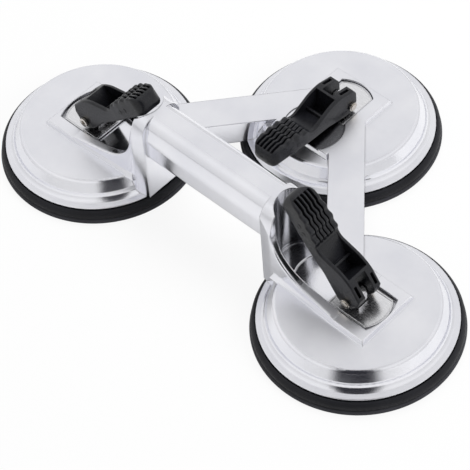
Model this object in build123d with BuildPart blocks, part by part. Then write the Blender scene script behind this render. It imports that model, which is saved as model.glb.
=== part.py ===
from build123d import *
import os
from math import atan2, cos, degrees, hypot, radians, sin, tan

# Floor tile suction lifter with three cups: one aluminium casting with a handle,
# and in each cup a rubber pad, a pull plate with its lug, a hinge pin and a cam lever.
# Millimetres. Z is up, the pads rest on z = 0, the origin is under the middle of the box.
# The handle runs along X between the left and right cups, and the rear cup is at +Y.

# Layout
cup_spacing = 202.0
rear_reach = 100.0

# Rubber pad
pad_radius = 60.0
pad_wall_height = 6.6
pad_lip_width = 8.0
pad_lip_slope = 4.0
pad_cavity = 2.6
pad_rim_margin = 0.6
seat_height = 8.4

# Cup shell of the casting
rim_radius = 56.2
rim_edge = 1.3
rim_land = 3.2
crown_radius = 46.0
crown_height = 22.3
crown_dome = 0.6
crown_round = 3.0
crown_round_run = 2.4
crown_round_drop = 1.9
land_rise = 0.5
cove_run = 3.1
cove_rise = 5.2
cove_radius = 5.5
shell_wall = 2.5

# Raised ends, the lever pocket and the ramp up to the handle
plateau_height = 25.4
plateau_half_width = 20.0
plateau_slant = 2.2
plateau_root = 1.0
plateau_reach = 20.8
rear_plateau_inner = 34.3
pocket_floor = 22.7
pocket_half_width = 13.3
pocket_outer_reach = 20.4
pocket_inner_reach = 54.4
pocket_end_sag = 3.0
ramp_radius = 28.9
ramp_slope = 9.6
ramp_centre_height = 58.0
ramp_brink_distance = 47.6
wall_half_width = 20.0
root_half_width = 17.0
root_distance = 48.0
end_wall_distance = 56.5
end_wall_half_width = 14.8
dimple_radius = 18.0
dimple_distance = 23.0
dimple_depth = 0.7

# Handle
handle_half_width = 13.0
handle_bottom = 42.5
handle_shoulder = 56.0
handle_top = 71.5
handle_flat_half = 4.7
handle_edge_radius = 3.0
arch_run = 2.1
arch_rise = 9.9
arch_low_radius = 24.3
arch_high_radius = 10.3
root_arch_run = 4.2
root_arch_rise = 10.7
root_low_radius = 30.7
root_high_radius = 9.9

# Arms to the rear cup
arm_width = 20.8
arm_bottom = 9.1
arm_wall = 2.8
arm_rear_offset = (12.0, -7.4)
arm_side_offset = -9.5

# Wear plate under the prongs
wear_thickness = 1.2
wear_half_width = 12.0
wear_inner = 11.0
wear_outer = 19.6
wear_end_sag = 4.5
wear_clearance = 0.35

# Pull plate and lug
core_inset = 12.2
core_thickness = 2.5
foot_length = 16.0
foot_height = 1.6
lug_thickness = 6.8
lug_width = 8.0
lug_clearance = 0.6

# Hinge pin
pin_height = 30.0
pin_diameter = 4.2
pin_clearance = 0.06
pin_head_diameter = 5.8
pin_head_thickness = 1.5
pin_recess_diameter = 2.6
pin_recess_depth = 1.0
clip_thickness = 1.2
clip_side_gap = 0.25

# Lever
lever_half_width = 9.2
prong_gap = 7.7
prong_depth = 11.5
prong_back = 4.2
prong_nose = 0.8
prong_shoulder = 8.4
prong_height = 11.6
prong_crest = 13.0
prong_crest_end = 9.0
heel_start = 3.0
heel_drop = 5.9
heel_back_drop = 3.4
heel_rise = 1.5
neck_start = 20.0
neck_height = 10.4
neck_end = 28.5
neck_radius = 26.0
belly_depth = 3.6
waist_height = 4.0
waist_length = 9.5
waist_edge = 1.6
web_thickness = 1.6
side_wall = 2.1
channel_floor = -2.2
channel_end = 35.0
channel_end_height = 4.0
step_position = 20.0
step_height = 3.0
step_length = 1.5
slope_height = 0.8
pocket_width = 1.8
pocket_length = 7.0
pocket_depth = 4.4
pocket_place = 4.6
grip_height = 7.6
grip_camber = 0.5
tip_reach = 67.8
tip_height = 1.0
tip_round_top = 5.3
tip_round_bottom = 3.8
tip_drop = 5.2
tip_half_width = 7.4
tip_corner = 3.0
tip_taper_length = 21.8
groove_count = 5
groove_width = 1.4
groove_pitch = 2.7
groove_floor = 4.9
groove_inset = 1.5
right_lever_angle = 48.0
left_lever_angle = 42.0
rear_lever_angle = 5.0

cup_x = cup_spacing / 2
front_y = -rear_reach / 2
rear_y = rear_reach / 2

# Each cup: centre, the direction from the pin to the handle in degrees, lever angle
cups = {
    "right": (cup_x, front_y, 180.0, right_lever_angle),
    "left": (-cup_x, front_y, 0.0, left_lever_angle),
    "rear": (0.0, rear_y, -90.0, rear_lever_angle),
}

rim_top = seat_height + rim_edge
cavity_top = crown_height - shell_wall


# Cup shell, filled: the turned outer form from the rim to the crown
with BuildPart() as cup_outer:
    with BuildSketch(Plane.XZ):
        with BuildLine():
            cove_foot = (rim_radius - rim_land, rim_top + land_rise)
            cove_head = (cove_foot[0] - cove_run, cove_foot[1] + cove_rise)
            brow_foot = (crown_radius + crown_round_run / 2, crown_height - crown_round_drop)
            brow_head = (crown_radius - crown_round_run / 2, crown_height)
            Polyline((0, seat_height), (rim_radius, seat_height), (rim_radius, rim_top), cove_foot)
            RadiusArc(cove_foot, cove_head, cove_radius)
            Line(cove_head, brow_foot)
            RadiusArc(brow_foot, brow_head, -crown_round)
            Polyline(brow_head, (0, crown_height + crown_dome), (0, seat_height))
        make_face()
    revolve(axis=Axis.Z)

# The hollow inside a cup
with BuildPart() as cup_inner:
    with BuildSketch(Plane.XZ):
        with BuildLine():
            Polyline(
                (0, 0),
                (rim_radius - rim_land - shell_wall, 0),
                (rim_radius - rim_land - shell_wall, rim_top),
                (crown_radius - crown_round, cavity_top),
                (0, cavity_top),
                close=True,
            )
        make_face()
    revolve(axis=Axis.Z)

# Side end of the casting: raised square end, ramp walls and half of the handle.
# It is modelled for the right cup and mirrored for the left one.
with BuildPart() as side_end:
    # Square end and its slanted skirt on the crown
    with BuildSketch(Plane.XY.offset(crown_height - plateau_root)):
        with BuildLine():
            skirt = plateau_half_width + plateau_slant
            Polyline(
                (cup_x + plateau_reach + plateau_slant, front_y - skirt),
                (cup_x + plateau_reach + plateau_slant, front_y + skirt),
                (cup_x, front_y + skirt),
                (cup_x - root_distance, front_y + root_half_width + plateau_slant),
                (cup_x - root_distance, front_y - root_half_width - plateau_slant),
                (cup_x, front_y - skirt),
                close=True,
            )
        make_face()
    slant_rise = plateau_height - crown_height + plateau_root
    extrude(amount=slant_rise, taper=degrees(atan2(plateau_slant, slant_rise)))
    # Walls beside the ramp, from the end wall at the handle to the square end
    with BuildSketch(Plane.XY.offset(rim_top)):
        with BuildLine():
            Polyline(
                (cup_x, front_y - wall_half_width),
                (cup_x, front_y + wall_half_width),
                (cup_x - root_distance, front_y + root_half_width),
                (cup_x - end_wall_distance, front_y + end_wall_half_width),
                (cup_x - end_wall_distance, front_y - end_wall_half_width),
                (cup_x - root_distance, front_y - root_half_width),
                close=True,
            )
        make_face()
    extrude(amount=handle_top - rim_top)
    # Handle grip from the middle of the lifter to the root
    with BuildSketch(Plane.YZ) as handle_profile:
        with BuildLine():
            side = front_y + handle_half_width
            knee = (side - arch_run, handle_shoulder + arch_rise)
            flat = (front_y + handle_flat_half, handle_top)
            Polyline((front_y, handle_bottom), (side, handle_bottom), (side, handle_shoulder))
            RadiusArc((side, handle_shoulder), knee, -arch_low_radius)
            RadiusArc(knee, flat, -arch_high_radius)
            Polyline(flat, (front_y, handle_top), (front_y, handle_bottom))
        make_face()
        mirror(about=Plane.YZ.offset(front_y))
        fillet(handle_profile.vertices().group_by(Axis.Y)[0], radius=handle_edge_radius)
    extrude(amount=cup_x - root_distance)
    # Shoulders of the root follow the arch of the handle
    with BuildSketch(Plane.YZ):
        with BuildLine():
            side = front_y + root_half_width
            knee = (side - root_arch_run, handle_shoulder + root_arch_rise)
            flat = (front_y + handle_flat_half, handle_top)
            beyond = side + 2 * plateau_slant
            Polyline(flat, (beyond, handle_top), (beyond, handle_shoulder), (side, handle_shoulder))
            RadiusArc((side, handle_shoulder), knee, -root_low_radius)
            RadiusArc(knee, flat, -root_high_radius)
        make_face()
        mirror(about=Plane.YZ.offset(front_y))
    extrude(amount=cup_x, mode=Mode.SUBTRACT)
    # Ramp: a slight slope from the square end, a round hollow, and a steep end at the handle
    with BuildSketch(Plane.XZ.offset(-front_y + 2 * wall_half_width)):
        with BuildLine():
            slope = radians(ramp_slope)
            brink = (cup_x - ramp_brink_distance, ramp_centre_height)
            hollow = (
                brink[0] + ramp_radius * (1 - sin(slope)),
                ramp_centre_height - ramp_radius * cos(slope),
            )
            foot = (hollow[0] + (hollow[1] - plateau_height) / tan(slope), plateau_height)
            clear = (cup_x + cup_spacing / 2, handle_top + ramp_radius)
            Line(foot, hollow)
            RadiusArc(hollow, brink, ramp_radius)
            Polyline(brink, (brink[0], clear[1]), clear, (clear[0], plateau_height), foot)
        make_face()
    extrude(amount=-4 * wall_half_width, mode=Mode.SUBTRACT)

# Pocket for the lever: flat floor, shallow outer arc, round end at the handle,
# and a shallow round sink in the floor
with BuildPart() as pocket_void:
    with BuildSketch(Plane.XY.offset(pocket_floor)):
        with BuildLine():
            outer_x = cup_x + pocket_outer_reach
            inner_x = cup_x - pocket_inner_reach + pocket_half_width
            near = front_y - pocket_half_width
            far = front_y + pocket_half_width
            corner_x = outer_x - pocket_end_sag
            ThreePointArc((corner_x, near), (outer_x, front_y), (corner_x, far))
            Line((corner_x, far), (inner_x, far))
            ThreePointArc((inner_x, far), (cup_x - pocket_inner_reach, front_y), (inner_x, near))
            Line((inner_x, near), (corner_x, near))
        make_face()
    extrude(amount=handle_top)
    with BuildSketch(Plane.XY.offset(pocket_floor - dimple_depth)):
        with Locations((cup_x - dimple_distance, front_y)):
            Circle(dimple_radius)
            Rectangle(4 * dimple_radius, 2 * pocket_half_width, mode=Mode.INTERSECT)
    extrude(amount=dimple_depth)

# Rear end of the casting: the flat raised end and the two channel arms
arm_rear = (arm_rear_offset[0], rear_y + arm_rear_offset[1])
arm_side = (cup_x + arm_side_offset, front_y)
arm_run = hypot(arm_side[0] - arm_rear[0], arm_side[1] - arm_rear[1])
arm_angle = degrees(atan2(arm_side[1] - arm_rear[1], arm_side[0] - arm_rear[0]))
with BuildPart() as rear_end:
    with BuildSketch(Plane.XY.offset(crown_height - plateau_root)):
        with BuildLine():
            skirt = plateau_half_width + plateau_slant
            inner_y = rear_y - rear_plateau_inner - plateau_slant
            outer_y = rear_y + plateau_reach + plateau_slant
            Polyline((-skirt, inner_y), (skirt, inner_y), (skirt, outer_y), (-skirt, outer_y), close=True)
        make_face()
    extrude(amount=slant_rise, taper=degrees(atan2(plateau_slant, slant_rise)))

with BuildPart() as arm:
    with BuildSketch(Plane.XY.offset(arm_bottom)):
        with Locations(Location((arm_rear[0], arm_rear[1], 0), (0, 0, arm_angle))):
            with Locations((arm_run / 2, 0)):
                Rectangle(arm_run, arm_width)
    extrude(amount=plateau_height - arm_bottom)
    with BuildSketch(Plane.XY.offset(arm_bottom)):
        with Locations(Location((arm_rear[0], arm_rear[1], 0), (0, 0, arm_angle))):
            with Locations((arm_run / 2, 0)):
                Rectangle(arm_run - 2 * arm_wall, arm_width - 2 * arm_wall)
    extrude(amount=plateau_height - arm_bottom - arm_wall, mode=Mode.SUBTRACT)

# The casting: shells, ends, arms and handle in one piece
with BuildPart() as cast_frame:
    for x, y, turn, angle in cups.values():
        add(cup_outer.part.moved(Location((x, y, 0))))
    add(arm.part)
    add(arm.part.mirror(Plane.YZ))
    add(rear_end.part)
    add(side_end.part)
    add(side_end.part.mirror(Plane.YZ))
    add(pocket_void.part, mode=Mode.SUBTRACT)
    add(pocket_void.part.mirror(Plane.YZ), mode=Mode.SUBTRACT)
    # Sink and wear plate seat in the rear end
    with BuildSketch(Plane.XY.offset(plateau_height - dimple_depth)):
        with Locations((0, rear_y - dimple_distance)):
            Circle(dimple_radius)
    extrude(amount=dimple_depth, mode=Mode.SUBTRACT)
    with BuildSketch(Plane.XY.offset(pocket_floor)):
        with BuildLine():
            half = wear_half_width + wear_clearance
            inner = rear_y - wear_inner - wear_clearance
            outer = rear_y + wear_outer + wear_clearance
            corner = outer - wear_end_sag
            ThreePointArc((half, corner), (0, outer), (-half, corner))
            Polyline((-half, corner), (-half, inner), (half, inner), (half, corner))
        make_face()
    extrude(amount=plateau_height, mode=Mode.SUBTRACT)
    # Hollows of the cups, and the hole for each lug
    for x, y, turn, angle in cups.values():
        add(cup_inner.part.moved(Location((x, y, 0))), mode=Mode.SUBTRACT)
        with BuildSketch(Plane.XY.offset(cavity_top - 1)):
            with Locations(Location((x, y, 0), (0, 0, turn))):
                Rectangle(lug_width + 2 * lug_clearance, lug_thickness + 2 * lug_clearance)
        extrude(amount=pocket_floor - cavity_top + 2, mode=Mode.SUBTRACT)

# Rubber pad: a sealing lip round a shallow hollow, and a flat top that carries the casting's rim
with BuildPart() as pad:
    with BuildSketch(Plane.XZ):
        with BuildLine():
            lip_inner = pad_radius - pad_lip_width
            Polyline(
                (0, pad_cavity),
                (lip_inner - pad_lip_slope, pad_cavity),
                (lip_inner, 0),
                (pad_radius, 0),
                (pad_radius, pad_wall_height),
                (rim_radius + pad_rim_margin, seat_height),
                (0, seat_height),
                close=True,
            )
        make_face()
    revolve(axis=Axis.Z)

# Pull plate bonded to the pad
with BuildPart() as core_plate:
    with BuildSketch(Plane.XY.offset(seat_height)):
        Circle(rim_radius - core_inset)
    extrude(amount=core_thickness)

# Lug from the pull plate up to the pin
lug_base = seat_height + core_thickness
with BuildPart() as pull_lug:
    with BuildSketch(Plane.XY.offset(lug_base)):
        Rectangle(foot_length, foot_length)
    extrude(amount=foot_height)
    with BuildSketch(Plane.XZ):
        with BuildLine():
            half = lug_width / 2
            Polyline((-half, pin_height), (-half, lug_base), (half, lug_base), (half, pin_height))
            ThreePointArc((half, pin_height), (0, pin_height + half), (-half, pin_height))
        make_face()
    extrude(amount=lug_thickness / 2, both=True)
    with Locations(Location((0, 0, pin_height), (90, 0, 0))):
        Hole(pin_diameter / 2 + pin_clearance)

# Wear plate that the prongs turn on
with BuildPart() as wear_plate:
    with BuildSketch(Plane.XY.offset(pocket_floor)):
        with BuildLine():
            Polyline(
                (-wear_outer + wear_end_sag, -wear_half_width),
                (wear_inner, -wear_half_width),
                (wear_inner, wear_half_width),
                (-wear_outer + wear_end_sag, wear_half_width),
            )
            ThreePointArc(
                (-wear_outer + wear_end_sag, wear_half_width),
                (-wear_outer, 0),
                (-wear_outer + wear_end_sag, -wear_half_width),
            )
        make_face()
        Rectangle(lug_width + 2 * lug_clearance, lug_thickness + 2 * lug_clearance, mode=Mode.SUBTRACT)
    extrude(amount=wear_thickness)

# Hinge pin with a hollow head, and the ring clip pressed on its other end
head_face = lever_half_width + clip_side_gap
pin_end = head_face + clip_thickness + 0.4
with BuildPart() as hinge_pin:
    with BuildSketch(Plane.XZ.offset(-pin_end)):
        with Locations((0, pin_height)):
            Circle(pin_diameter / 2)
    extrude(amount=pin_end + head_face)
    with BuildSketch(Plane.XZ.offset(head_face)):
        with Locations((0, pin_height)):
            Circle(pin_head_diameter / 2)
    extrude(amount=pin_head_thickness)
    with BuildSketch(Plane.XZ.offset(head_face + pin_head_thickness)):
        with Locations((0, pin_height)):
            Circle(pin_recess_diameter / 2)
    extrude(amount=-pin_recess_depth, mode=Mode.SUBTRACT)

with BuildPart() as pin_clip:
    with BuildSketch(Plane.XZ.offset(-head_face)):
        with Locations((0, pin_height)):
            Circle(pin_head_diameter / 2)
            Circle(pin_diameter / 2, mode=Mode.SUBTRACT)
    extrude(amount=-clip_thickness)

# Cam lever, modelled with the pin at the origin and the grip along +X
grip_start = neck_end + waist_length
grip_end = tip_reach - tip_round_top
tip_edge = tip_reach - tip_round_bottom
with BuildPart() as lever:
    with BuildSketch(Plane.XZ):
        with BuildLine():
            neck_foot = (neck_end, waist_height + waist_edge)
            Polyline(
                (neck_start, -belly_depth),
                (heel_start, -heel_drop),
                (prong_nose - prong_back, -heel_back_drop),
                (-prong_back, heel_rise),
                (prong_nose - prong_back, prong_shoulder),
                (-prong_nose, prong_height),
                (prong_crest_end, prong_crest),
            )
            RadiusArc((prong_crest_end, prong_crest), (neck_start, neck_height), neck_radius)
            Line((neck_start, neck_height), neck_foot)
            waist = (neck_end + waist_length / 2, waist_height)
            ThreePointArc(neck_foot, waist, (grip_start, grip_height - waist_edge))
            grip_middle = ((grip_start + grip_end) / 2, grip_height + grip_camber)
            ThreePointArc((grip_start, grip_height - waist_edge), grip_middle, (grip_end, grip_height))
            ThreePointArc((grip_end, grip_height), (tip_reach, tip_height), (tip_edge, -tip_drop))
            Line((tip_edge, -tip_drop), (neck_start, -belly_depth))
        make_face()
    extrude(amount=lever_half_width, both=True)
    # Seen from above, the grip narrows to a tip with round corners
    with BuildSketch(Plane.XY.offset(-tip_reach)) as lever_plan:
        with BuildLine():
            Polyline(
                (-2 * prong_back, 0),
                (-2 * prong_back, lever_half_width),
                (tip_reach - tip_taper_length, lever_half_width),
                (tip_reach, tip_half_width),
                (tip_reach, 0),
            )
            mirror(about=Plane.XZ)
        make_face()
        fillet(lever_plan.vertices().group_by(Axis.X)[-1], radius=tip_corner)
    extrude(amount=2 * tip_reach, mode=Mode.INTERSECT)
    # Gap between the prongs, open at the end of the lever
    with BuildSketch(Plane.XY.offset(-tip_reach)):
        with Locations((prong_depth - prong_crest, 0)):
            Rectangle(2 * prong_crest, prong_gap)
    extrude(amount=2 * tip_reach, mode=Mode.SUBTRACT)
    # Channel behind the web, with a step and a sloping floor
    with BuildSketch(Plane.XZ):
        with BuildLine():
            front = prong_depth + web_thickness
            Polyline(
                (front, 2 * prong_crest),
                (front, channel_floor),
                (step_position, channel_floor),
                (step_position, step_height),
                (step_position + step_length, step_height),
                (step_position + step_length, slope_height),
                (channel_end, channel_end_height),
                (channel_end, 2 * prong_crest),
                close=True,
            )
        make_face()
    extrude(amount=lever_half_width - side_wall, both=True, mode=Mode.SUBTRACT)
    # Long grooves in the grip
    groove_length = grip_end - grip_start + 2 * groove_inset
    with BuildSketch(Plane.XY.offset(groove_floor)):
        with Locations((grip_start + groove_length / 2, 0)):
            with GridLocations(0, groove_pitch, 1, groove_count):
                Rectangle(groove_length, groove_width)
    extrude(amount=grip_height, mode=Mode.SUBTRACT)
    # Small pockets in the tops of the prongs
    prong_middle = (lever_half_width + prong_gap / 2) / 2
    with BuildSketch(Plane.XY.offset(prong_crest - pocket_depth)):
        with Locations((pocket_place, prong_middle), (pocket_place, -prong_middle)):
            Rectangle(pocket_length, pocket_width)
    extrude(amount=prong_crest, mode=Mode.SUBTRACT)
    with Locations(Location((0, 0, 0), (90, 0, 0))):
        Hole(pin_diameter / 2 + pin_clearance)


def placed(piece, name, x, y, turn):
    """A copy of a piece that was modelled at a cup centre, turned to face the handle."""
    copy = piece.moved(Location((x, y, 0), (0, 0, turn)))
    copy.label = name
    return copy


os.makedirs("parts", exist_ok=True)
cast_frame.part.label = "cast_frame"
export_step(cast_frame.part, "parts/cast_frame.step")
for side, (x, y, turn, angle) in cups.items():
    lever_at_rest = lever.part.moved(Location((0, 0, pin_height), (0, -angle, 0)))
    pieces = {
        "pad": pad.part,
        "core_plate": core_plate.part,
        "pull_lug": pull_lug.part,
        "wear_plate": wear_plate.part,
        "hinge_pin": hinge_pin.part,
        "pin_clip": pin_clip.part,
        "lever": lever_at_rest,
    }
    for kind, piece in pieces.items():
        name = f"{side}_{kind}"
        export_step(placed(piece, name, x, y, turn), f"parts/{name}.step")
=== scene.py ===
# %% [markdown]
# # A three-cup suction lifter in Blender
# A tile lifter is a cast aluminium frame with a handle. It has three rubber pads, and a black cam lever
# over each one lifts the middle of its pad to make the suction. The CAD model gives every rigid piece
# its place, and this lesson adds the finishes, the fine shapes, the light and the camera.

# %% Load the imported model
import math

import bmesh
import bpy
from mathutils import Matrix, Vector


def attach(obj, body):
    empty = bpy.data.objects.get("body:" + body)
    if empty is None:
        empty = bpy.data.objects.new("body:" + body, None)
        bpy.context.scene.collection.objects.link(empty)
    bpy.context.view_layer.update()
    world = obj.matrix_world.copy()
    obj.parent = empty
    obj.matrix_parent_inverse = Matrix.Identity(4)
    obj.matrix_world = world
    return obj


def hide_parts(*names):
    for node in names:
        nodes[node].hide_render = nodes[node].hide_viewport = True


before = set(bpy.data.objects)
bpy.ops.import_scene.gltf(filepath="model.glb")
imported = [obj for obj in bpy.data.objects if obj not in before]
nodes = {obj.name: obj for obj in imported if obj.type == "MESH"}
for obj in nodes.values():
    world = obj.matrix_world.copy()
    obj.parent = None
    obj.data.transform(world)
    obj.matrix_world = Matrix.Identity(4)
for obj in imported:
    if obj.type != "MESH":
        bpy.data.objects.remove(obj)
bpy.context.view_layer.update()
SIDES = ("right", "left", "rear")
MM = 0.001
print("CAD nodes:", len(nodes))

# %% [markdown]
# ## The camera
# A camera can be moved by eye until the picture looks right. Here the three pads are equal circles, so
# their rims in the photograph give it without guessing: where it stands, its three angles and its lens.
# A long lens from over a metre away keeps the cups' ellipses alike.

# %% Camera
PHOTO_SIDE = 470
FOCAL_PIXELS = 2100.8
SENSOR = 36.0
NEAREST_SEEN = 0.05
CAMERA_PLACE = Vector((0.5596, -0.5596, 0.9365))
CAMERA_TURN = -0.82484
CAMERA_TILT = -0.67796
CAMERA_ROLL = 0.08976


def place_object(name, data):
    """Puts a new object with this data into the scene."""
    made = bpy.data.objects.new(name, data)
    bpy.context.scene.collection.objects.link(made)
    return made


turn = Matrix.Rotation(CAMERA_TURN, 3, "Z")
tilt = Matrix.Rotation(CAMERA_TILT, 3, "X")
roll = Matrix.Rotation(CAMERA_ROLL, 3, "Z")
camera_data = bpy.data.cameras.new("camera")
camera_data.sensor_width = SENSOR
camera_data.lens = FOCAL_PIXELS / PHOTO_SIDE * SENSOR
camera_data.clip_start = NEAREST_SEEN
camera = place_object("camera", camera_data)
camera.matrix_world = Matrix.Translation(CAMERA_PLACE) @ (roll @ tilt @ turn).transposed().to_4x4()
bpy.context.scene.camera = camera
print("lens", round(camera_data.lens, 1), "mm")


# %% [markdown]
# ## A short way to write materials
# A finish could come from pictures of metal and rubber laid over the shapes. Nodes are used instead,
# because they fit any shape and stay sharp at any distance. Each of these helpers adds one kind of node
# and hands back its output, so the node code below reads like a recipe.

# %% Node helpers
COLOUR_A, COLOUR_B, COLOUR_OUT = 6, 7, 2


def add_node(tree, kind, **settings):
    """Adds a shader node and gives it its settings."""
    node = tree.nodes.new(kind)
    for key, value in settings.items():
        setattr(node, key, value)
    return node


def feed(tree, value, socket):
    """Links another node's output to a socket, or writes a plain number or colour on it."""
    if isinstance(value, bpy.types.NodeSocket):
        tree.links.new(value, socket)
    else:
        socket.default_value = value


def maths(tree, operation, *values):
    """The result of one maths node."""
    node = add_node(tree, "ShaderNodeMath", operation=operation)
    for value, socket in zip(values, node.inputs):
        feed(tree, value, socket)
    return node.outputs[0]


def split_axes(tree, vector):
    """The X, Y and Z of a place or a direction."""
    node = add_node(tree, "ShaderNodeSeparateXYZ")
    tree.links.new(vector, node.inputs["Vector"])
    return node.outputs


def mix_colours(tree, share, first, second, blend_type="MIX"):
    """The first colour where the share is 0 and the second one where it is 1."""
    node = add_node(tree, "ShaderNodeMix", data_type="RGBA", blend_type=blend_type)
    feed(tree, share, node.inputs["Factor"])
    feed(tree, first, node.inputs[COLOUR_A])
    feed(tree, second, node.inputs[COLOUR_B])
    return node.outputs[COLOUR_OUT]


def map_range(tree, value, start, end, bottom=0.0, top=1.0, **settings):
    """Goes from bottom to top while the value goes from start to end."""
    node = add_node(tree, "ShaderNodeMapRange", **settings)
    for name, number in zip(("From Min", "From Max", "To Min", "To Max"), (start, end, bottom, top)):
        node.inputs[name].default_value = number
    tree.links.new(value, node.inputs["Value"])
    return node.outputs["Result"]


print("node helpers: 6")


# %% [markdown]
# ## Patterns, colours and rounded edges
# Cast metal, rubber and plastic are never quite even. A noise gives the unevenness, a ramp turns it into
# a colour or a roughness, and a bump lets it catch the light. The bevel node does the same for edges.

# %% Pattern helpers
def new_material(name):
    """A material with a Principled shader; returns it, its tree, the shader and object coordinates."""
    material = bpy.data.materials.new(name)
    material.use_nodes = True
    tree = material.node_tree
    shader = tree.nodes["Principled BSDF"]
    where = add_node(tree, "ShaderNodeTexCoord").outputs["Object"]
    return material, tree, shader, where


def noise(tree, where, scale, detail, stretch=(1, 1, 1)):
    """A noise pattern; scale is in features per metre, and stretch squeezes it along an axis."""
    mapping = add_node(tree, "ShaderNodeMapping")
    mapping.inputs["Scale"].default_value = stretch
    tree.links.new(where, mapping.inputs["Vector"])
    node = add_node(tree, "ShaderNodeTexNoise")
    node.inputs["Scale"].default_value = scale
    node.inputs["Detail"].default_value = detail
    tree.links.new(mapping.outputs["Vector"], node.inputs["Vector"])
    return node.outputs["Fac"]


def ramp(tree, value, stops):
    """Turns a value into a colour or a number through a list of (place, grey or colour) stops."""
    node = add_node(tree, "ShaderNodeValToRGB")
    elements = node.color_ramp.elements
    while len(elements) < len(stops):
        elements.new(0.5)
    for element, (place, shade) in zip(elements, stops):
        element.position = place
        colour = (shade,) * 3 if isinstance(shade, float) else shade
        element.color = (*colour, 1.0)
    tree.links.new(value, node.inputs["Fac"])
    return node.outputs["Color"]


def bump(tree, height, depth, normal):
    """Tilts a shading direction by a height pattern; depth is the pattern's height in metres."""
    node = add_node(tree, "ShaderNodeBump")
    node.inputs["Distance"].default_value = depth
    node.inputs["Strength"].default_value = 1.0
    tree.links.new(height, node.inputs["Height"])
    tree.links.new(normal, node.inputs["Normal"])
    return node.outputs["Normal"]


def soft_edge(tree, radius, samples=6):
    """The shading of an edge that is rounded by this radius in metres."""
    node = add_node(tree, "ShaderNodeBevel", samples=samples)
    feed(tree, radius, node.inputs["Radius"])
    return node.outputs["Normal"]


print("pattern helpers: 5")


# %% [markdown]
# ## Painted shade in inner corners
# A fine dark line shows wherever two surfaces meet at an inner corner. It could be painted on by hand.
# The ambient occlusion node finds those places from the shape itself, so one helper paints that shade
# into any finish there, and it still fits when the shape changes.

# %% Painted crease shade
FULL_SHADE, NO_SHADE = 0.25, 0.75


def painted_crease_shade(tree, colour, reach, darkest):
    """Paints shade into a colour in inner corners; reach is in metres and darkest is the share left
    there.
    """
    node = add_node(tree, "ShaderNodeAmbientOcclusion", samples=6)
    node.inputs["Distance"].default_value = reach
    shade = ramp(tree, node.outputs["AO"], [(FULL_SHADE, darkest), (NO_SHADE, 1.0)])
    return mix_colours(tree, 1.0, colour, shade, blend_type="MULTIPLY")


print("a crease is darkest where only", FULL_SHADE, "of its surroundings is open")


# %% [markdown]
# ## Places on the casting
# The casting is one piece of metal, yet a polished pocket and a satin top differ. It could be cut into
# several meshes with a finish each. Boxes in the material do the same with no seams: a value is 1
# inside a box and 0 outside it, and the finish reads that value.

# %% Boxes on the casting
def both_sides(low, high):
    """A box at the right cup, in millimetres, and its mirror image at the left cup."""
    return [(low, high), ((-high[0], low[1], low[2]), (-low[0], high[1], high[2]))]


def inside(tree, axes, low, high):
    """1 inside one box and 0 outside it."""
    result = None
    for axis, bottom, top in zip("XYZ", low, high):
        for limit, operation in ((bottom, "GREATER_THAN"), (top, "LESS_THAN")):
            test = maths(tree, operation, axes[axis], limit * MM)
            result = maths(tree, "MULTIPLY", result, test) if result else test
    return result


def inside_any(tree, where, boxes):
    """1 inside any of the boxes and 0 elsewhere."""
    axes = split_axes(tree, where)
    result = None
    for low, high in boxes:
        found = inside(tree, axes, low, high)
        result = maths(tree, "MAXIMUM", result, found) if result else found
    return result


REAR_POCKET = ((-18.2, 8.0, 24.0), (18.2, 45.0, 24.9))
POCKETS = both_sides((45.5, -63.4, 21.8), (121.4, -36.6, 24.9)) + [REAR_POCKET]
LEVER_SLOTS = both_sides((45.5, -63.6, 24.9), (96.0, -36.4, 71.0))
HANDLE_ROOTS = both_sides((45.0, -72.0, 26.0), (112.0, -28.0, 80.0))
SLOT_EDGES = [((-112.0, -65.6, 26.0), (112.0, -34.4, 80.0))]
print("boxes on the casting:", len(POCKETS + LEVER_SLOTS + HANDLE_ROOTS + SLOT_EDGES))

# %% [markdown]
# ## Cast aluminium, satin and polished
# The casting is blasted to a satin grey and then polished by a wheel where the wheel can reach: the
# shoulders of the cups, the walls and the lever pockets. So the roughness depends on which way a
# surface faces. Flat tops stay satin, steep faces shine, and the pockets' floors shine too.

# %% Aluminium
SATIN_DARK = (0.82, 0.825, 0.875)
SATIN_LIGHT = (0.91, 0.912, 0.95)
SATIN_ROUGHNESS = 0.38
POLISH_ROUGHNESS = (0.11, 0.19)
FLAT_FROM, FLAT_TO = 0.90, 0.985

aluminium, tree, shader, where = new_material("cast aluminium, satin and polished")
shader.inputs["Metallic"].default_value = 1.0
cloud = noise(tree, where, scale=38, detail=4.0)
tone = ramp(tree, cloud, [(0.3, SATIN_DARK), (0.7, SATIN_LIGHT)])
facing = split_axes(tree, add_node(tree, "ShaderNodeNewGeometry").outputs["True Normal"])
flatness = ramp(tree, facing["Z"], [(FLAT_FROM, 0.0), (FLAT_TO, 1.0)])
pockets = inside_any(tree, where, POCKETS)
polish = ramp(tree, cloud, [(0.35, POLISH_ROUGHNESS[0]), (0.65, POLISH_ROUGHNESS[1])])
finish = add_node(tree, "ShaderNodeMix", data_type="FLOAT", clamp_factor=True)
tree.links.new(maths(tree, "SUBTRACT", flatness, pockets), finish.inputs["Factor"])
tree.links.new(polish, finish.inputs["A"])
finish.inputs["B"].default_value = SATIN_ROUGHNESS
tree.links.new(finish.outputs["Result"], shader.inputs["Roughness"])
print("satin roughness", SATIN_ROUGHNESS, "and polished", POLISH_ROUGHNESS)

# %% [markdown]
# ## Painted shade in the pockets and slots
# A pocket is deep and its walls stand close, so little light gets in. Renders lose that, since a polished
# wall mirrors the whole room. Three reaches of the crease helper paint that shade into the base colour: a
# fine line over the whole casting, a soft shade in the pockets, and a deep one in the slots that the
# levers lie in.

# %% Aluminium painted shade
OPEN_REACH, POCKET_REACH, SLOT_REACH = 1.6, 9.0, 26.0

# Painted shade: the tone is darkened in inner corners, more in the pockets and most in the slots.
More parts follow.
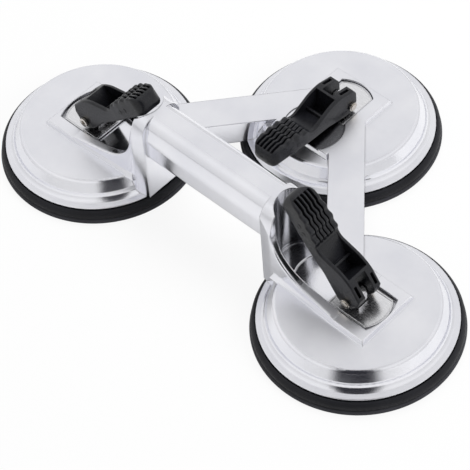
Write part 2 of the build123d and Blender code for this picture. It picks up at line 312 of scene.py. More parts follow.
open_painted_shade = painted_crease_shade(tree, tone, reach=OPEN_REACH * MM, darkest=0.35)
pocket_painted_shade = painted_crease_shade(tree, tone, reach=POCKET_REACH * MM, darkest=0.22)
slot_painted_shade = painted_crease_shade(tree, tone, reach=SLOT_REACH * MM, darkest=0.05)
shaded = mix_colours(tree, pockets, open_painted_shade, pocket_painted_shade)
slots = inside_any(tree, where, LEVER_SLOTS)
tree.links.new(mix_colours(tree, slots, shaded, slot_painted_shade), shader.inputs["Base Color"])
print("shade reaches in mm:", OPEN_REACH, POCKET_REACH, SLOT_REACH)

# %% [markdown]
# ## Edges of the casting
# Every edge of a casting is a little round. Real bevels on so many edges would need a very dense mesh, so
# the bevel node rounds them in the shading alone. The handle's roots are blended by hand on the real
# tool, so their edges get a larger radius, except the edges of the slots, which stay crisp.

# %% Aluminium edges
EDGE_RADIUS = 1.0 * MM
ROOT_RADIUS = 2.8 * MM
SWELL_DEPTH = 0.06 * MM
GRAIN_DEPTH = 0.006 * MM

slot_edges = inside_any(tree, where, SLOT_EDGES)
roots = maths(tree, "SUBTRACT", inside_any(tree, where, HANDLE_ROOTS), slot_edges)
radius = map_range(tree, roots, 0.0, 1.0, EDGE_RADIUS, ROOT_RADIUS)
swell = noise(tree, where, scale=60, detail=2.0)
grain = noise(tree, where, scale=1100, detail=3.0)
uneven = bump(tree, swell, SWELL_DEPTH, soft_edge(tree, radius, samples=8))
tree.links.new(bump(tree, grain, GRAIN_DEPTH, uneven), shader.inputs["Normal"])
print("nodes in the aluminium:", len(tree.nodes))

# %% [markdown]
# ## Bright steel and nickel
# Wear plates, lugs and pull plates are rolled sheet, so their faint grain runs one way: a noise that is
# squeezed along one axis gives it. The pins are plated, so they are warmer, with small specks.

# %% Steel and nickel
STEEL_DARK, STEEL_LIGHT = (0.74, 0.74, 0.76), (0.84, 0.84, 0.86)
NICKEL_DARK, NICKEL_LIGHT = (0.66, 0.61, 0.54), (0.82, 0.78, 0.71)
SPECK_DEPTH = 0.01 * MM

steel, tree, shader, where = new_material("rolled steel")
shader.inputs["Metallic"].default_value = 1.0
streaks = noise(tree, where, scale=260, detail=3.0, stretch=(1, 9, 1))
tone = ramp(tree, streaks, [(0.35, STEEL_DARK), (0.7, STEEL_LIGHT)])
# Painted shade: the crease helper darkens the steel's colour in its inner corners.
tree.links.new(painted_crease_shade(tree, tone, reach=0.8 * MM, darkest=0.2), shader.inputs["Base Color"])
tree.links.new(ramp(tree, streaks, [(0.3, 0.20), (0.7, 0.29)]), shader.inputs["Roughness"])
tree.links.new(soft_edge(tree, radius=0.25 * MM), shader.inputs["Normal"])

nickel, tree, shader, where = new_material("nickel plate")
shader.inputs["Metallic"].default_value = 1.0
specks = noise(tree, where, scale=700, detail=3.0)
tone = ramp(tree, specks, [(0.3, NICKEL_DARK), (0.7, NICKEL_LIGHT)])
# Painted shade: the crease helper darkens the pins' colour almost to black in their corners and recesses.
tree.links.new(painted_crease_shade(tree, tone, reach=1.5 * MM, darkest=0.04), shader.inputs["Base Color"])
tree.links.new(ramp(tree, specks, [(0.3, 0.14), (0.7, 0.30)]), shader.inputs["Roughness"])
edge = soft_edge(tree, radius=0.2 * MM)
tree.links.new(bump(tree, specks, SPECK_DEPTH, edge), shader.inputs["Normal"])
print("made:", steel.name, "and", nickel.name)

# %% [markdown]
# ## Rubber
# Moulded rubber is nearly black and dull, with a fine skin. The lip at its foot is painted lighter, as
# painted light, and the wall above it darker, as painted shade under the casting's rim. The height of a
# point tells the two apart, which needs no second mesh.

# %% Rubber
LIP_TOP, WALL_FOOT = 2.4 * MM, 3.0 * MM
SHADED_WALL_DARK, SHADED_WALL_LIGHT = (0.007, 0.007, 0.009), (0.015, 0.0155, 0.019)
LIT_LIP_DARK, LIT_LIP_LIGHT = (0.028, 0.028, 0.033), (0.048, 0.0485, 0.057)
SKIN_DEPTH = 0.02 * MM

rubber, tree, shader, where = new_material("moulded rubber")
dust = noise(tree, where, scale=45, detail=5.0)
skin = noise(tree, where, scale=1400, detail=2.0)
# Painted light and shade: a lit copy of the rubber on the lip and a shaded copy on the wall, chosen by
# height.
shaded_wall_tone = ramp(tree, dust, [(0.3, SHADED_WALL_DARK), (0.75, SHADED_WALL_LIGHT)])
lit_lip_tone = ramp(tree, dust, [(0.3, LIT_LIP_DARK), (0.75, LIT_LIP_LIGHT)])
painted_wall_shade_share = map_range(tree, split_axes(tree, where)["Z"], LIP_TOP, WALL_FOOT)
tree.links.new(mix_colours(tree, painted_wall_shade_share, lit_lip_tone, shaded_wall_tone), shader.inputs["Base Color"])
shader.inputs["Specular IOR Level"].default_value = 0.22
tree.links.new(ramp(tree, skin, [(0.3, 0.42), (0.7, 0.60)]), shader.inputs["Roughness"])
edge = soft_edge(tree, radius=0.4 * MM)
tree.links.new(bump(tree, skin, SKIN_DEPTH, edge), shader.inputs["Normal"])
print("made:", rubber.name)

# %% [markdown]
# ## Lever plastic
# The levers are black glass-filled nylon from a spark-eroded mould, which leaves a fine even grain. The
# grain is too fine to be geometry, so a noise tilts the shading and changes the shine together.

# %% Plastic
PLASTIC_DARK, PLASTIC_LIGHT = (0.006, 0.0062, 0.008), (0.0115, 0.012, 0.015)
PEBBLE_DEPTH = 0.02 * MM

plastic, tree, shader, where = new_material("grained black plastic")
pebble = noise(tree, where, scale=1800, detail=2.0)
patches = noise(tree, where, scale=120, detail=3.0)
tone = ramp(tree, patches, [(0.3, PLASTIC_DARK), (0.7, PLASTIC_LIGHT)])
tree.links.new(tone, shader.inputs["Base Color"])
tree.links.new(ramp(tree, pebble, [(0.3, 0.25), (0.7, 0.37)]), shader.inputs["Roughness"])
shader.inputs["Specular IOR Level"].default_value = 0.36
edge = soft_edge(tree, radius=0.35 * MM)
tree.links.new(bump(tree, pebble, PEBBLE_DEPTH, edge), shader.inputs["Normal"])
print("made:", plastic.name)

# %% [markdown]
# ## Putting the finishes on
# Each CAD node could be given its finish one by one. It takes it by its name instead, because the same
# seven pieces repeat under each cup.

# %% Assign finishes
FINISHES = {
    "cast_frame": (aluminium, "cast_aluminium"),
    "pad": (rubber, "pad_rubber"),
    "wear_plate": (steel, "plate_steel"),
    "core_plate": (steel, "plate_steel"),
    "pull_lug": (steel, "plate_steel"),
    "hinge_pin": (nickel, "pin_nickel"),
    "pin_clip": (nickel, "pin_nickel"),
    "lever": (plastic, "lever_plastic"),
}
for name, node in nodes.items():
    kind = name if name in FINISHES else name.split("_", 1)[1]
    node.data.materials.clear()
    node.data.materials.append(FINISHES[kind][0])
print("finished nodes:", len(nodes))

# %% [markdown]
# ## Where the cups and levers are
# The CAD model puts a cup at each of three places, and turns its lever towards the handle. The same
# numbers place the finer pieces here, so they fit the casting with no adjustment by eye.

# %% Cup places
# A cup's middle in millimetres, and the direction of its lever in degrees.
CUPS = {
    "right": (101.0, -50.0, 180.0),
    "left": (-101.0, -50.0, 0.0),
    "rear": (0.0, 50.0, -90.0),
}


def cup_place(side, lift=0.0, lean=0.0):
    """Takes millimetres at a cup's centre, with its lever along +X, to metres in the model."""
    x, y, turn = CUPS[side]
    place = Matrix.Translation(Vector((x, y, lift)) * MM) @ Matrix.Rotation(math.radians(turn), 4, "Z")
    return place @ Matrix.Rotation(math.radians(-lean), 4, "Y") @ Matrix.Scale(MM, 4)


print("cups:", ", ".join(CUPS))


# %% [markdown]
# ## From points to a piece
# The finer pieces are meshes written point by point, because their curves are known as numbers. Every
# such mesh is cleaned in the same way: doubled points are joined and all faces are turned outwards. A
# piece then takes its finish and rides on the body that carries it, so it moves with the joints.

# %% Mesh helpers
JOIN_WITHIN = 0.002 * MM
SHARP_FROM = 40


def clean_mesh(name, points, faces, join_within):
    """A mesh with its doubled points joined and its faces turned outwards."""
    mesh = bpy.data.meshes.new(name)
    mesh.from_pydata(points, [], faces)
    work = bmesh.new()
    work.from_mesh(mesh)
    bmesh.ops.remove_doubles(work, verts=work.verts, dist=join_within)
    bmesh.ops.recalc_face_normals(work, faces=work.faces)
    work.to_mesh(mesh)
    work.free()
    return mesh


def add_piece(name, points, faces, place, material, slot, body, sharp=SHARP_FROM):
    """Makes a piece from points in millimetres, shades it and lets it ride on a body."""
    mesh = clean_mesh(name, [place @ Vector(point) for point in points], faces, JOIN_WITHIN)
    mesh.shade_smooth()
    mesh.set_sharp_from_angle(angle=math.radians(sharp))
    mesh.materials.append(material)
    piece = place_object(name, mesh)
    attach(piece, body)
    return piece


print("edges are sharp from", SHARP_FROM, "degrees")


# %% [markdown]
# ## A small lathe
# Pads, ejector marks and the drill are all turned shapes. Blender's own Screw modifier could turn them,
# but a few lines do it with exact point numbers and no modifier to apply.

# %% Lathe
def lathe(profile, steps):
    """Sweeps (radius, height) points round the Z axis; returns the points and faces."""
    points = []
    for step in range(steps):
        angle = 2 * math.pi * step / steps
        points += [(r * math.cos(angle), r * math.sin(angle), z) for r, z in profile]
    count = len(profile)
    faces = []
    for step in range(steps):
        here, there = step * count, (step + 1) % steps * count
        faces += [(here + k, there + k, there + k + 1, here + k + 1) for k in range(count - 1)]
    return points, faces


print("points in a test sweep:", len(lathe([(1.0, 0.0), (1.0, 1.0)], 8)[0]))

# %% [markdown]
# ## The rubber pads
# A pad could be a cylinder with modelled details, but one profile swept round the cup's axis gives it
# whole. The profile has what a mould leaves on rubber: a soft shoulder under the casting's rim, a groove
# near the foot, a lip that flares out below it, and two fine sealing rings underneath.

# %% Pads
PAD_RADIUS = 59.97
PAD_STEPS = 144
HOLLOW = 2.6
SEAT, SEAT_GAP = 8.4, 0.02
PAD_TOP = SEAT - SEAT_GAP
RING_HALF = 0.5
RING_HEIGHT = 0.35

pad_profile = [(0.0, HOLLOW), (46.0, HOLLOW), (48.0, 2.3), (51.2, 0.3), (52.2, 0.0)]
for ring in (54.4, 56.8):
    pad_profile += [(ring - RING_HALF, 0.0), (ring, RING_HEIGHT), (ring + RING_HALF, 0.0)]
pad_profile += [(59.0, 0.0), (59.7, 0.25), (PAD_RADIUS, 0.8), (PAD_RADIUS, 1.3), (59.7, 1.9), (59.0, 2.7)]
pad_profile += [(58.7, 2.9), (58.65, 3.3), (59.05, 3.55), (59.25, 3.9), (59.25, 4.8), (59.1, 5.7)]
pad_profile += [(58.75, 6.5), (58.2, 7.3), (57.6, 7.95), (57.1, 8.25), (56.8, 8.3), (56.5, 8.1)]
pad_profile += [(56.3, 7.7), (55.9, 7.7), (55.7, PAD_TOP), (0.0, PAD_TOP)]
points, faces = lathe(pad_profile, PAD_STEPS)
for side in SIDES:
    pad = add_piece(f"{side}_pad_rubber", points, faces, cup_place(side), rubber, "pad_rubber", "frame")
    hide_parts(f"{side}_pad")
print("pad profile points:", len(pad_profile))

# %% [markdown]
# ## The outline of a lever
# Seen from the side a lever is a curve of a few straight lines and arcs: prongs, a sloping neck, a
# waist, and a grip with a round tip. It could be a Bezier curve drawn by eye. Arcs through three points
# are used, because the CAD model has the same arcs. One list gives the top and one the underside.

# %% Lever outline
def arc(start, middle, end, steps):
    """Points on the circle through three points, without the first one."""
    (ax, ay), (bx, by), (cx, cy) = start, middle, end
    d = 2 * (ax * (by - cy) + bx * (cy - ay) + cx * (ay - by))
    a2, b2, c2 = ax * ax + ay * ay, bx * bx + by * by, cx * cx + cy * cy
    ox = (a2 * (by - cy) + b2 * (cy - ay) + c2 * (ay - by)) / d
    oy = (a2 * (cx - bx) + b2 * (ax - cx) + c2 * (bx - ax)) / d
    first = math.atan2(ay - oy, ax - ox)
    sweep = math.atan2(cy - oy, cx - ox) - first
    sweep -= 2 * math.pi * round(sweep / (2 * math.pi))
    radius = math.hypot(ax - ox, ay - oy)
    turns = [first + sweep * k / steps for k in range(1, steps + 1)]
    return [(ox + radius * math.cos(t), oy + radius * math.sin(t)) for t in turns]


BACK = (-4.2, 1.5)
CREST = (9.0, 13.0)
NECK = (28.5, 5.6)
GRIP_START = (38.0, 6.0)
GRIP_END = (62.0, 7.4)
TIP_FOOT = (64.0, -5.0)
lever_top = [BACK, (-3.4, 8.4), (-0.8, 11.6), CREST]
lever_top += arc(CREST, (14.6, 12.3), (20.0, 10.4), 6) + [NECK]
lever_top += arc(NECK, (33.25, 4.0), GRIP_START, 10)
lever_top += arc(GRIP_START, (50.0, 8.0), GRIP_END, 16)
tip_arc = arc(GRIP_END, (67.5, 1.0), TIP_FOOT, 24)
nose = max(range(len(tip_arc)), key=lambda k: tip_arc[k][0])
lever_top += tip_arc[:nose + 1]
lever_under = [BACK, (-3.4, -3.4), (3.0, -5.9), (20.0, -3.6)] + tip_arc[:nose - 1:-1]
TIP_REACH = tip_arc[nose][0]
print("lever reach", round(TIP_REACH, 2), "mm")


# %% [markdown]
# ## The plan of a lever
# Seen from above a lever is straight, then narrows towards its tip and has round corners there. A
# formula for half its width is enough, because the lever is the same on both sides of its middle.

# %% Lever plan
HALF_WIDTH = 9.2
TIP_HALF_WIDTH = 8.0
TIP_CORNER = 6.0
TAPER_START = 46.0


def height_at(outline, u):
    """The outline's height at a distance u from the pin."""
    for (u0, z0), (u1, z1) in zip(outline, outline[1:]):
        if u <= u1:
            return z0 + (z1 - z0) * (u - u0) / (u1 - u0)
    return outline[-1][1]


def half_width(u):
    """Half the lever's width: straight, then narrower, then round at the tip's corners."""
    share = min(max((u - TAPER_START) / (TIP_REACH - TAPER_START), 0.0), 1.0)
    half = HALF_WIDTH + (TIP_HALF_WIDTH - HALF_WIDTH) * share
    into_corner = max(u - (TIP_REACH - TIP_CORNER), 0.0)
    return half - TIP_CORNER + math.sqrt(max(TIP_CORNER ** 2 - into_corner ** 2, 0.0))


print("half width in the grip:", round(half_width(GRIP_START[0]), 2), "mm")


# %% [markdown]
# ## Heights in place of cuts
# Every point of a lever's plan has one top and one underside, so heights alone can describe it all. First
# come the hollows: the deep channel with its web and step, and the pockets in the prongs. Booleans could
# cut them too, but heights keep every wall where the grid wants it.

# %% Lever heights
TOP_ROUND = 1.2
CHANNEL_START, CHANNEL_END, CHANNEL_HALF = 13.1, 35.0, 7.1
WEB_START, WEB_END, WEB_TOP = 20.0, 21.5, 3.0
DEEP_FLOOR, STEP_FLOOR, FLOOR_RISE = -2.2, 0.8, 3.2
POCKET_START, POCKET_END, POCKET_DEPTH = 1.1, 8.1, 4.4
POCKET_INNER, POCKET_OUTER = 5.6, 7.4


def smooth(low, high, value):
    """Rises from 0 at low to 1 at high without a corner."""
    share = min(max((value - low) / (high - low), 0.0), 1.0)
    return share * share * (3 - 2 * share)


def rounding(distance, radius):
    """How far the surface drops near an edge that is rounded."""
    near = max(radius - distance, 0.0)
    return radius - math.sqrt(max(radius ** 2 - near ** 2, 0.0))


def channel_floor(u):
    """The channel is deep behind the web, then has a step, and then slopes up to the grip."""
    if u < WEB_START:
        return DEEP_FLOOR
    if u < WEB_END:
        return WEB_TOP
    return STEP_FLOOR + (u - WEB_END) / (CHANNEL_END - WEB_END) * FLOOR_RISE


print("channel floor at its end:", round(channel_floor(CHANNEL_END), 2), "mm")

# %% [markdown]
# ## Ribs and grooves
# The grip has ribs along it for the palm, and they rise and fall in small waves. Grooves run between
# them, get deeper and wider towards the tip, and run out there. A sine gives the waves, and soft steps
# let everything fade in and out, where a Boolean would leave ragged faces.

# %% Ribs and grooves
WAVE_START, WAVE_LENGTH, WAVE_HEIGHT = 37.0, 6.8, 0.65
WAVES_RISE, WAVES_FADE = (35.0, 39.0), (56.0, 61.5)
RIBS_RISE, RIBS_FADE, RIB_CREST = (36.0, 40.0), (64.5, 66.5), 0.35
GROOVE_PITCH = 2.7
GROOVE_CENTRES = [GROOVE_PITCH * k for k in (-2, -1, 0, 1, 2)]
GROOVE_HALF = 0.75
GROOVE_START, GROOVE_END = 36.5, 65.0
GROOVE_NARROW, GROOVE_GAIN, GROOVE_OPENS = 0.55, 0.5, (44.0, 60.0)
GROOVE_FLOOR, GROOVE_DIP, GROOVE_DIPS = 4.8, 1.6, (37.0, 48.0)
RUNOUT_LENGTH, RUNOUT_RISE = 1.5, 1.2


def groove_share(u):
    """The grooves start narrow behind the channel and open out towards the tip."""
    return GROOVE_NARROW + GROOVE_GAIN * smooth(*GROOVE_OPENS, u)


def groove_floor(u):
    """A groove gets deeper along the grip and runs out just before the tip."""
    runout = RUNOUT_RISE * smooth(GROOVE_END - RUNOUT_LENGTH, GROOVE_END, u)
    return GROOVE_FLOOR - GROOVE_DIP * smooth(*GROOVE_DIPS, u) + runout


def lever_top_at(u, w):
    """Height of the lever's upper surface at a point of its plan."""
    beside = abs(w)
    wave = math.sin(2 * math.pi * (u - WAVE_START) / WAVE_LENGTH)
    outline = height_at(lever_top, u)
    outline += WAVE_HEIGHT * wave * smooth(*WAVES_RISE, u) * (1 - smooth(*WAVES_FADE, u))
    z = outline - rounding(half_width(u) - beside, TOP_ROUND)
    if CHANNEL_START < u < CHANNEL_END and beside < CHANNEL_HALF:
        z = min(z, channel_floor(u))
    if POCKET_START < u < POCKET_END and POCKET_INNER < beside < POCKET_OUTER:
        z -= POCKET_DEPTH
    from_groove = min(abs(w - centre) for centre in GROOVE_CENTRES)
    if RIBS_RISE[0] < u and beside < GROOVE_PITCH * 2.5:
        crest = min(from_groove / (GROOVE_PITCH / 2), 1.0)
        z -= RIB_CREST * (1 - crest) * smooth(*RIBS_RISE, u) * (1 - smooth(*RIBS_FADE, u))
    if from_groove < (GROOVE_HALF - 0.05) * groove_share(u) and GROOVE_START < u < GROOVE_END:
        z = min(z, groove_floor(u))
    return z


print("groove floor at the middle of the grip:", round(groove_floor(50.0), 2), "mm")


# %% [markdown]
# ## A grid for the lever
# The heights need points to stand on. An even grid would either be huge or blur the walls, so this one is
# fine where the shape changes and coarse elsewhere, and two lines lie close together wherever a wall
# stands up.

# %% Lever grid lines
GAP_HALF = 3.85
GAP_END = 11.5
WALL_GAP = 0.05
GROOVE_INNER = 0.55
PRONG_PITCH, CHANNEL_PITCH, GRIP_PITCH = 1.2, 1.3, 0.55
TIP_LINES_FROM = 65.1


def grid_lines(stops, pitch):
    """Positions from the first stop to the last, with every stop kept and gaps of at most pitch."""
    lines = [stops[0]]
    for start, end in zip(stops, stops[1:]):
        parts = max(1, math.ceil((end - start) / pitch - 0.001))
        lines += [start + (end - start) * k / parts for k in range(1, parts + 1)]
    return lines


def walls(*places):
    """Two lines close together at each place where a wall stands up."""
    return [place + offset for place in places for offset in (-WALL_GAP, WALL_GAP)]


prong_stops = [BACK[0], -4.05, -3.8, -3.4, -0.8] + walls(POCKET_START, POCKET_END) + [CREST[0], GAP_END]
channel_stops = [GAP_END] + walls(CHANNEL_START, WEB_START, WEB_END, CHANNEL_END)
grip_stops = [CHANNEL_END + WALL_GAP, 36.45, 36.6, 38.0, 63.4, 64.2, 64.9, 65.05]
along = grid_lines(prong_stops, PRONG_PITCH)
along += grid_lines(channel_stops, CHANNEL_PITCH)[1:]
along += grid_lines(grip_stops, GRIP_PITCH)[1:]
along += sorted(u for u, z in tip_arc[:nose + 1] if u > TIP_LINES_FROM)
groove_lines = (-GROOVE_HALF, -GROOVE_INNER, GROOVE_INNER, GROOVE_HALF)
half_lines = [0.0, GROOVE_INNER, GROOVE_HALF, 1.1, 1.35, 1.6]
half_lines += [GROOVE_PITCH * k + offset for k in (1, 2) for offset in groove_lines]
half_lines += [GAP_HALF, 4.05, 4.3, 6.6] + walls(POCKET_INNER, CHANNEL_HALF, POCKET_OUTER)
half_lines += [8.1, 8.5, 8.75, 8.95, 9.1, 9.17, HALF_WIDTH]
across = sorted([-w for w in half_lines[1:]] + half_lines)
print("lever grid:", len(along), "by", len(across))

# %% [markdown]
# ## Fitting the grid to the plan
# The lever gets narrower towards its tip, and a grid that only shrank would bend the grooves. So the
# lines near the middle stay straight, the outer ones follow the edge, and all are drawn in at the tip.

# %% Lever fit
GROOVES_FROM = 35.5
KEPT_HALF = 6.2
TIP_MARGIN = 0.9


def fit_across(u, w):
    """Moves a grid line's distance from the middle to where it lies on the narrowing lever."""
    half = half_width(u)
    centre = min(GROOVE_CENTRES, key=lambda middle: abs(w - middle))
    if abs(w - centre) <= GROOVE_HALF and u > GROOVES_FROM:
        w = centre + (w - centre) * groove_share(u)
    size = abs(w)
    if half < KEPT_HALF + TIP_MARGIN:
        size *= half / HALF_WIDTH
    elif size > KEPT_HALF:
        size = KEPT_HALF + (size - KEPT_HALF) * (half - KEPT_HALF) / (HALF_WIDTH - KEPT_HALF)
    return math.copysign(size, w)


print("the edge line at the end of the grip:", round(fit_across(GRIP_END[0], HALF_WIDTH), 2), "mm")


# %% [markdown]
# ## The grid made solid
# Each cell of the grid gives a face above and a face below, and a wall wherever its neighbour is empty:
# at the outline and round the gap between the prongs. Where the top and the underside meet at the tip,
# a cell with only one thick corner keeps three of its corners, so that the mesh stays closed.

# %% Lever grid
NECK_ROUND, GRIP_ROUND, ROUND_GROWS = 1.0, 2.8, (30.0, 55.0)
HAIR = 0.01


def lever_grid():
    """Points and faces of a whole lever with its pin at the origin and its grip along +X."""
    points, faces, thick = [], [], []
    for u in along:
        under_round = NECK_ROUND + (GRIP_ROUND - NECK_ROUND) * smooth(*ROUND_GROWS, u)
        for w in across:
            v = fit_across(u, w)
            under = height_at(lever_under, u) + rounding(half_width(u) - abs(v), under_round)
            top = lever_top_at(u, v)
            thick.append(top - under > HAIR)
            if not thick[-1]:
                top = under = (top + under) / 2
            points += [(u, v, top), (u, v, under)]
    rows, cols = len(along) - 1, len(across) - 1

    def is_thick(row, column):
        return thick[row * len(across) + column]

    def solid(i, j):
        if not (0 <= i < rows and 0 <= j < cols):
            return False
        if along[i + 1] <= GAP_END + HAIR and abs(across[j] + across[j + 1]) / 2 < GAP_HALF:
            return False
        return any(is_thick(row, column) for row in (i, i + 1) for column in (j, j + 1))

    def corner(i, j, under):
        return 2 * (i * len(across) + j) + under

    for i in range(rows):
        for j in range(cols):
            if not solid(i, j):
                continue
            ring = [(i, j), (i + 1, j), (i + 1, j + 1), (i, j + 1)]
            kept = list(ring)
            if sum(is_thick(*c) for c in ring) == 1:
                del kept[[is_thick(*c) for c in ring].index(True) - 2]
            faces.append([corner(*c, 0) for c in kept])
            faces.append([corner(*c, 1) for c in reversed(kept)])
            sides = [(i, j - 1), (i + 1, j), (i, j + 1), (i - 1, j)]
            for k, beside in enumerate(sides):
                if not solid(*beside):
                    a, b = ring[k], ring[(k + 1) % 4]
                    faces.append([corner(*a, 1), corner(*b, 1), corner(*b, 0), corner(*a, 0)])
    return points, faces


blank_points, blank_faces = lever_grid()
print("lever blank:", len(blank_points), "points and", len(blank_faces), "faces")

# %% [markdown]
# ## The hole for the pin
# The hinge pin goes through both prongs. A hole across a grid of heights can't be a part of the grid, so
# a drill-shaped mesh cuts it out with a Boolean modifier, once, before the lever is copied three times.

# %% Pin hole
PIN_HOLE_RADIUS = 2.13
DRILL_HALF = HALF_WIDTH + 1
DRILL_STEPS = 32
BLANK_JOIN = 0.004


def drilled(points, faces):
    """The lever's points and faces after the pin's hole is cut through both prongs."""
    blank = place_object("lever blank", clean_mesh("lever blank", points, faces, BLANK_JOIN))
    rod_profile = [(0.0, -DRILL_HALF), (PIN_HOLE_RADIUS, -DRILL_HALF)]
    rod_profile += [(PIN_HOLE_RADIUS, DRILL_HALF), (0.0, DRILL_HALF)]
    rod_points, rod_faces = lathe(rod_profile, DRILL_STEPS)
    lying = [(x, z, y) for x, y, z in rod_points]
    drill = place_object("drill", clean_mesh("drill", lying, rod_faces, BLANK_JOIN))
    cut = blank.modifiers.new("pin hole", "BOOLEAN")
    cut.object = drill
    cut.solver = "EXACT"
    result = bpy.data.meshes.new_from_object(blank.evaluated_get(bpy.context.evaluated_depsgraph_get()))
    new_points = [tuple(vertex.co) for vertex in result.vertices]
    new_faces = [list(polygon.vertices) for polygon in result.polygons]
    for made in (blank, drill):
        bpy.data.objects.remove(made)
    return new_points, new_faces


lever_points, lever_faces = drilled(blank_points, blank_faces)
print("faces after the hole:", len(lever_faces))


# %% [markdown]
# ## Ejector marks
# The pins that push a lever out of its mould leave two small round marks on its side. A picture of them
# would look flat from close by, so each is a small turned ring with a sunk centre, and it stands out by
# a hair's breadth.

# %% Ejector marks
MARKS = [(45.5, 1.0), (50.5, 1.4)]
MARK_PROFILE = [(0.0, 0.03), (0.95, 0.05), (1.15, 0.22), (1.4, 0.22), (1.6, -0.1), (0.0, -0.1)]
MARK_STEPS = 20


def add_marks(points, faces):
    """Adds the marks to both sides of the lever's points and faces."""
    for u, z in MARKS:
        for facing in (-1, 1):
            ring_points, ring_faces = lathe(MARK_PROFILE, MARK_STEPS)
            start = len(points)
            points += [(u + a, facing * (half_width(u) + out), z + b) for a, b, out in ring_points]
            faces += [[start + k for k in face] for face in ring_faces]


add_marks(lever_points, lever_faces)
print("ejector marks on a lever:", 2 * len(MARKS))

# %% [markdown]
# ## Three levers from one mould
# The real levers come from one mould, so the three pieces share one set of points. Each stands at its
# pin's height and leans as it does in the photograph, and it rides on its own lever arm.

# %% Levers
PIN_HEIGHT = 30.0
LEVER_LEAN = {"right": 48.0, "left": 42.0, "rear": 5.0}
LEVER_SHARP_FROM = 38

for side in SIDES:
    name, body = f"{side}_lever_moulded", f"{side}_lever_arm"
    place = cup_place(side, PIN_HEIGHT, LEVER_LEAN[side])
    mesh = (lever_points, lever_faces)
    lever = add_piece(name, *mesh, place, plastic, "lever_plastic", body, LEVER_SHARP_FROM)
    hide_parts(f"{side}_lever")
print("faces in each lever:", len(lever_faces))

# %% [markdown]
# ## The raised edge of a wear plate
# The stamped plate has a fine bead along its outline, which catches a bright line. A curve with a bevel
# would make a full tube. The bead is a half-round section carried along the plate's D-shaped outline, so
# it has a flat foot that lies on the plate.

# %% Wear plate beads
PLATE_TOP = 23.9
PLATE_SIDE, PLATE_FLAT, ROUND_START, ROUND_END = 12.0, 11.0, -15.1, -19.6
BEAD_INSET = 0.9
BEAD_HALF = 0.32
BEAD_HEIGHT = 0.28
BEAD_SIDES = 4
ROUND_STEPS = 16


def plate_outline():
    """The D of a wear plate, inset a little, with the round end away from the handle."""
    side_y = PLATE_SIDE - BEAD_INSET
    flat_x = PLATE_FLAT - BEAD_INSET
    round_start, round_end = (ROUND_START, side_y), (ROUND_END + BEAD_INSET, 0.0)
    curve = arc(round_start, round_end, (ROUND_START, -side_y), ROUND_STEPS)
    return [(flat_x, side_y), round_start] + curve + [(flat_x, -side_y)]


def bead_mesh(outline):
    """A half-round bead that follows a closed outline."""
    angles = [math.pi * k / BEAD_SIDES for k in range(BEAD_SIDES + 1)]
    section = [(math.cos(angle) * BEAD_HALF, math.sin(angle) * BEAD_HEIGHT) for angle in angles]
    points, faces = [], []
    total, count = len(outline), len(section)
    for k, (x, y) in enumerate(outline):
        before, after = Vector(outline[k - 1]), Vector(outline[(k + 1) % total])
        here = Vector((x, y))
        run = ((here - before).normalized() + (after - here).normalized()).normalized()
        out = Vector((run.y, -run.x))
        points += [(x + out.x * s, y + out.y * s, PLATE_TOP + h) for s, h in section]
    for k in range(total):
        here, there = count * k, count * ((k + 1) % total)
        faces += [(here + s, there + s, there + s + 1, here + s + 1) for s in range(BEAD_SIDES)]
        faces.append((here + BEAD_SIDES, there + BEAD_SIDES, there, here))
    return points, faces


points, faces = bead_mesh(plate_outline())
for side in SIDES:
    add_piece(f"{side}_plate_bead", points, faces, cup_place(side), steel, "plate_steel", "frame")
print("bead faces:", len(faces))

# %% [markdown]
# ## The white table
# The lifter stands on a white table. More light would bleach the metal before the table turned white, so
# the table's shader mixes a plain white glow into what the camera and the metal see. The ground stays
# white and still keeps a faint shadow.

# %% Floor
FLOOR_HALF = 4.0
FLOOR_DROP = 0.2 * MM
TABLE_GREY = (0.74, 0.74, 0.74, 1)
GLOW_SHARES = {"Is Camera Ray": 0.90, "Is Glossy Ray": 0.15}


def sheet(name, corners, material):
    """A flat four-cornered object."""
    mesh = bpy.data.meshes.new(name)
    mesh.from_pydata(corners, [], [(0, 1, 2, 3)])
    mesh.materials.append(material)
    return place_object(name, mesh)


def mix_shaders(tree, share, first, second):
    """Mixes two shaders and makes the result the material's surface."""
    node = add_node(tree, "ShaderNodeMixShader")
    tree.links.new(share, node.inputs["Fac"])
    tree.links.new(first, node.inputs[1])
    tree.links.new(second, node.inputs[2])
    tree.links.new(node.outputs["Shader"], tree.nodes["Material Output"].inputs["Surface"])


white, tree, shader, where = new_material("white table")
shader.inputs["Base Color"].default_value = TABLE_GREY
shader.inputs["Roughness"].default_value = 0.6
shader.inputs["Specular IOR Level"].default_value = 0.2
glow = add_node(tree, "ShaderNodeEmission")
glow.inputs["Color"].default_value = (1, 1, 1, 1)
path = add_node(tree, "ShaderNodeLightPath")
shares = [maths(tree, "MULTIPLY", path.outputs[ray], share) for ray, share in GLOW_SHARES.items()]
mix_shaders(tree, maths(tree, "MAXIMUM", *shares), shader.outputs["BSDF"], glow.outputs["Emission"])
floor_corners = [Vector(c) * FLOOR_HALF for c in ((-1, -1, 0), (1, -1, 0), (1, 1, 0), (-1, 1, 0))]
floor = sheet("floor", floor_corners, white)
floor.location.z = -FLOOR_DROP
print("floor:", 2 * FLOOR_HALF, "m square")

# %% [markdown]
# ## One dark card
# Polished metal has no look of its own: it shows the room. A photographer stands a tall black card close
# to bright metal, on the camera's side, and it makes the dark patches on the near shoulders of the cups.
# A dark stripe in the world would look alike in all three cups. A card that stands close is seen by each
# cup from its own side. Only glossy rays see it, and its edges fade out.

# %% Black card
CARD_DISTANCE = 0.40
CARD_HALF_WIDTH = 0.20
CARD_HEIGHT = 1.5
CARD_TURN = 45
CARD_BLACK = (0.02, 0.02, 0.026, 1)
SIDE_FADE = (0.08, 0.165)
TOP_FADE = (0.9, CARD_HEIGHT)

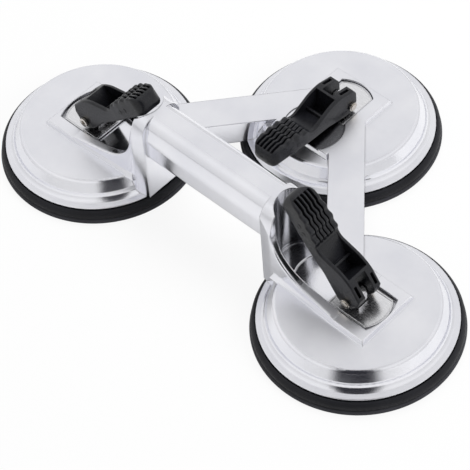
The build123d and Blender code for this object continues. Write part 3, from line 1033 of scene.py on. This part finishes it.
black, tree, shader, where = new_material("black card")
shader.inputs["Base Color"].default_value = CARD_BLACK
shader.inputs["Roughness"].default_value = 1.0
axes = split_axes(tree, where)
off_centre = maths(tree, "ABSOLUTE", axes["X"])
side_fade = map_range(tree, off_centre, *SIDE_FADE, 1.0, 0.0, interpolation_type="SMOOTHSTEP")
top_fade = map_range(tree, axes["Z"], *TOP_FADE, 1.0, 0.0, interpolation_type="SMOOTHSTEP")
clear = add_node(tree, "ShaderNodeBsdfTransparent").outputs["BSDF"]
mix_shaders(tree, maths(tree, "MULTIPLY", side_fade, top_fade), clear, shader.outputs["BSDF"])
foot = [(-CARD_HALF_WIDTH, 0, 0), (CARD_HALF_WIDTH, 0, 0)]
head = [(CARD_HALF_WIDTH, 0, CARD_HEIGHT), (-CARD_HALF_WIDTH, 0, CARD_HEIGHT)]
card = sheet("black card", foot + head, black)
card.rotation_euler.z = math.radians(CARD_TURN)
card.location = Vector((1, -1, 0)).normalized() * CARD_DISTANCE
for seen_by in ("camera", "diffuse", "shadow", "transmission", "volume_scatter"):
    setattr(card, f"visible_{seen_by}", False)
print("card stands", CARD_DISTANCE, "m from the middle")

# %% [markdown]
# ## The white room
# The room is the world's own colour, since walls of real geometry would only cost time. The camera sees
# it plain white. The metal sees it brightest about half way up, and a little greyer overhead and near
# the floor, which gives the satin tops and the walls their different greys.

# %% World
ROOM_GREYS = [(0.0, 0.76), (0.35, 0.82), (0.62, 0.92), (0.76, 0.91), (0.88, 0.82), (1.0, 0.72)]
ROOM_LIGHT = 0.45

world = bpy.data.worlds.new("white room")
bpy.context.scene.world = world
world.use_nodes = True
tree = world.node_tree
back = tree.nodes["Background"]
up = split_axes(tree, add_node(tree, "ShaderNodeTexCoord").outputs["Generated"])["Z"]
path = add_node(tree, "ShaderNodeLightPath").outputs
room = mix_colours(tree, path["Is Glossy Ray"], (1, 1, 1, 1), ramp(tree, up, ROOM_GREYS))
tree.links.new(room, back.inputs["Color"])
seen = maths(tree, "MAXIMUM", path["Is Camera Ray"], path["Is Glossy Ray"])
tree.links.new(map_range(tree, seen, 0.0, 1.0, ROOM_LIGHT, 1.0), back.inputs["Strength"])
print("the room lights the lifter with a strength of", ROOM_LIGHT)

# %% [markdown]
# ## Two soft lamps
# The room's light comes from everywhere and makes no shadow, so two large lamps give it a direction. The
# metal doesn't mirror them, because the photograph shows no lamps in it.

# %% Lamps
# A lamp's place and side in metres, and its power in watts.
LAMPS = {
    "top lamp": ((-0.4, 0.5, 1.3), 0.8, 15),
    "side lamp": ((1.1, 0.3, 0.9), 0.5, 10),
}


def area_lamp(name, place, size, power):
    """A square soft lamp that looks at the lifter."""
    data = bpy.data.lights.new(name, "AREA")
    data.size = size
    data.energy = power
    lamp = place_object(name, data)
    lamp.location = place
    lamp.rotation_euler = Vector(place).to_track_quat("Z", "Y").to_euler()
    lamp.visible_glossy = False


for name, settings in LAMPS.items():
    area_lamp(name, *settings)
print("lamps:", len(LAMPS))

# %% [markdown]
# ## View settings
# The view settings stay plain, so a colour renders about as it is written.

# %% View settings
bpy.context.scene.view_settings.view_transform = "Standard"
